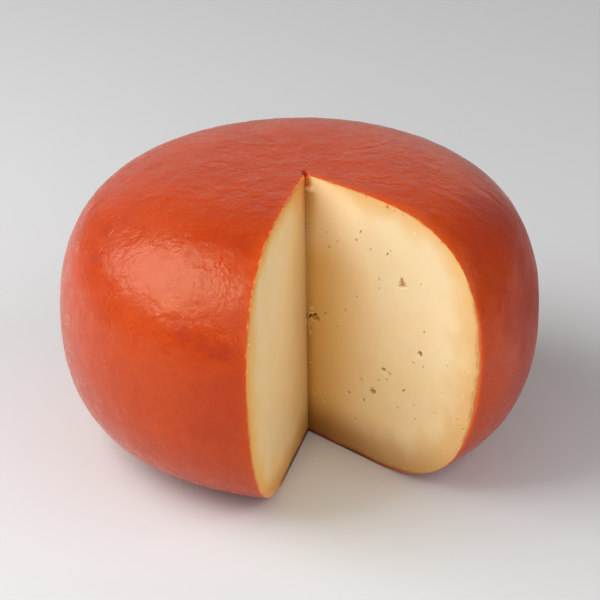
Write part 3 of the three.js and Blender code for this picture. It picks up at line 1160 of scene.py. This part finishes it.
def crumb_material():
    material, tree = new_material("crumb")
    place = surface_place(tree)
    share = remap(noise_of(place, 5, 1), 0.35, 0.55)
    surface(
        tree,
        Base_Color=mix(share, CRUMB_PALE, CRUMB_ORANGE),
        Roughness=0.55,
        Normal=bump_of(noise_of(place, 0.4), 0.4, 0.08),
        Subsurface_Weight=0.4,
        Subsurface_Radius=(1, 0.6, 0.25),
        Subsurface_Scale=0.6 * MM,
    )
    return material


# Stage, lights and camera

FLOOR_LIGHTNESS = 0.72
FLOOR_HALF = 6
FLOOR_DROP = 0.2 * MM
WORLD_STRENGTH = 0.13
# The softboxes: azimuth from the camera's side and elevation in degrees, distance, width, height and watts
LAMPS = {
    "key_softbox": (-88, 43, 1.1, 1.02, 0.95, 12.8),
    "front_left_softbox": (-42, 42, 1.3, 1, 0.8, 2.4),
    "low_softbox": (0, 17, 1.6, 1.5, 0.5, 6.6),
    "right_softbox": (60, 36, 1.4, 1.6, 0.8, 7.1),
    "back_panel": (178, 15, 1.8, 2.2, 0.9, 2.9),
}


def build_floor():
    mesh = bpy.data.meshes.new("floor")
    corners = [(x, y, -FLOOR_DROP) for x, y in ((-1, -1), (1, -1), (1, 1), (-1, 1))]
    mesh.from_pydata([(x * FLOOR_HALF, y * FLOOR_HALF, z) for x, y, z in corners], [], [(0, 1, 2, 3)])
    floor = new_object("floor", mesh)
    material, tree = new_material("floor")
    surface(tree, Base_Color=[FLOOR_LIGHTNESS] * 3, Roughness=0.9)
    mesh.materials.append(material)


def direction_to(azimuth, elevation):
    """Unit vector from the wheel towards a place. Azimuth 0 is -Y, and it grows towards +X."""
    level = math.cos(elevation)
    return Vector((math.sin(azimuth) * level, -math.cos(azimuth) * level, math.sin(elevation)))


def softbox(name, azimuth, elevation, distance, wide, tall, power):
    """A soft lamp that faces the wheel. Azimuth 0 is the camera's side and 90 its right."""
    data = bpy.data.lights.new(name, "AREA")
    data.shape = "RECTANGLE"
    data.size, data.size_y = wide, tall
    data.energy = power
    light = new_object(name, data)
    direction = direction_to(CAMERA_AZIMUTH + math.radians(azimuth), math.radians(elevation))
    light.location = direction * distance + Vector((0, 0, BELT_HEIGHT))
    light.rotation_euler = direction.to_track_quat("Z", "Y").to_euler()


def build_lights():
    for name, lamp in LAMPS.items():
        softbox(name, *lamp)
    world = bpy.data.worlds.new("studio")
    bpy.context.scene.world = world
    world.use_nodes = True
    background = world.node_tree.nodes["Background"]
    background.inputs["Color"].default_value = (1, 1, 1, 1)
    background.inputs["Strength"].default_value = WORLD_STRENGTH


def build_camera():
    data = bpy.data.cameras.new("camera")
    data.lens = CAMERA_LENS
    data.sensor_width = SENSOR_WIDTH
    data.clip_start, data.clip_end = CAMERA_CLIP
    camera = new_object("camera", data)
    back = direction_to(CAMERA_AZIMUTH, CAMERA_ELEVATION)
    level = Vector((*heading(CAMERA_AZIMUTH), 0))
    upright = back.cross(level)
    right = level * math.cos(CAMERA_ROLL) + upright * math.sin(CAMERA_ROLL)
    top = upright * math.cos(CAMERA_ROLL) - level * math.sin(CAMERA_ROLL)
    aim = level * AIM_RIGHT + Vector((0, 0, BELT_HEIGHT + AIM_ABOVE_BELT))
    camera.matrix_world = Matrix((right, top, back)).transposed().to_4x4()
    camera.matrix_world.translation = aim + back * CAMERA_DISTANCE
    bpy.context.scene.camera = camera


build_camera()
build_lights()
build_floor()
bpy.context.scene.view_settings.view_transform = "Standard"

wheel = build_wheel()
wheel.data.materials.append(rind_material())
wheel.data.materials.append(paste_material())
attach(wheel, "root")
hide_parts("cheese_wheel")

crumbs = build_crumbs()
crumbs.data.materials.append(crumb_material())
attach(crumbs, "root")
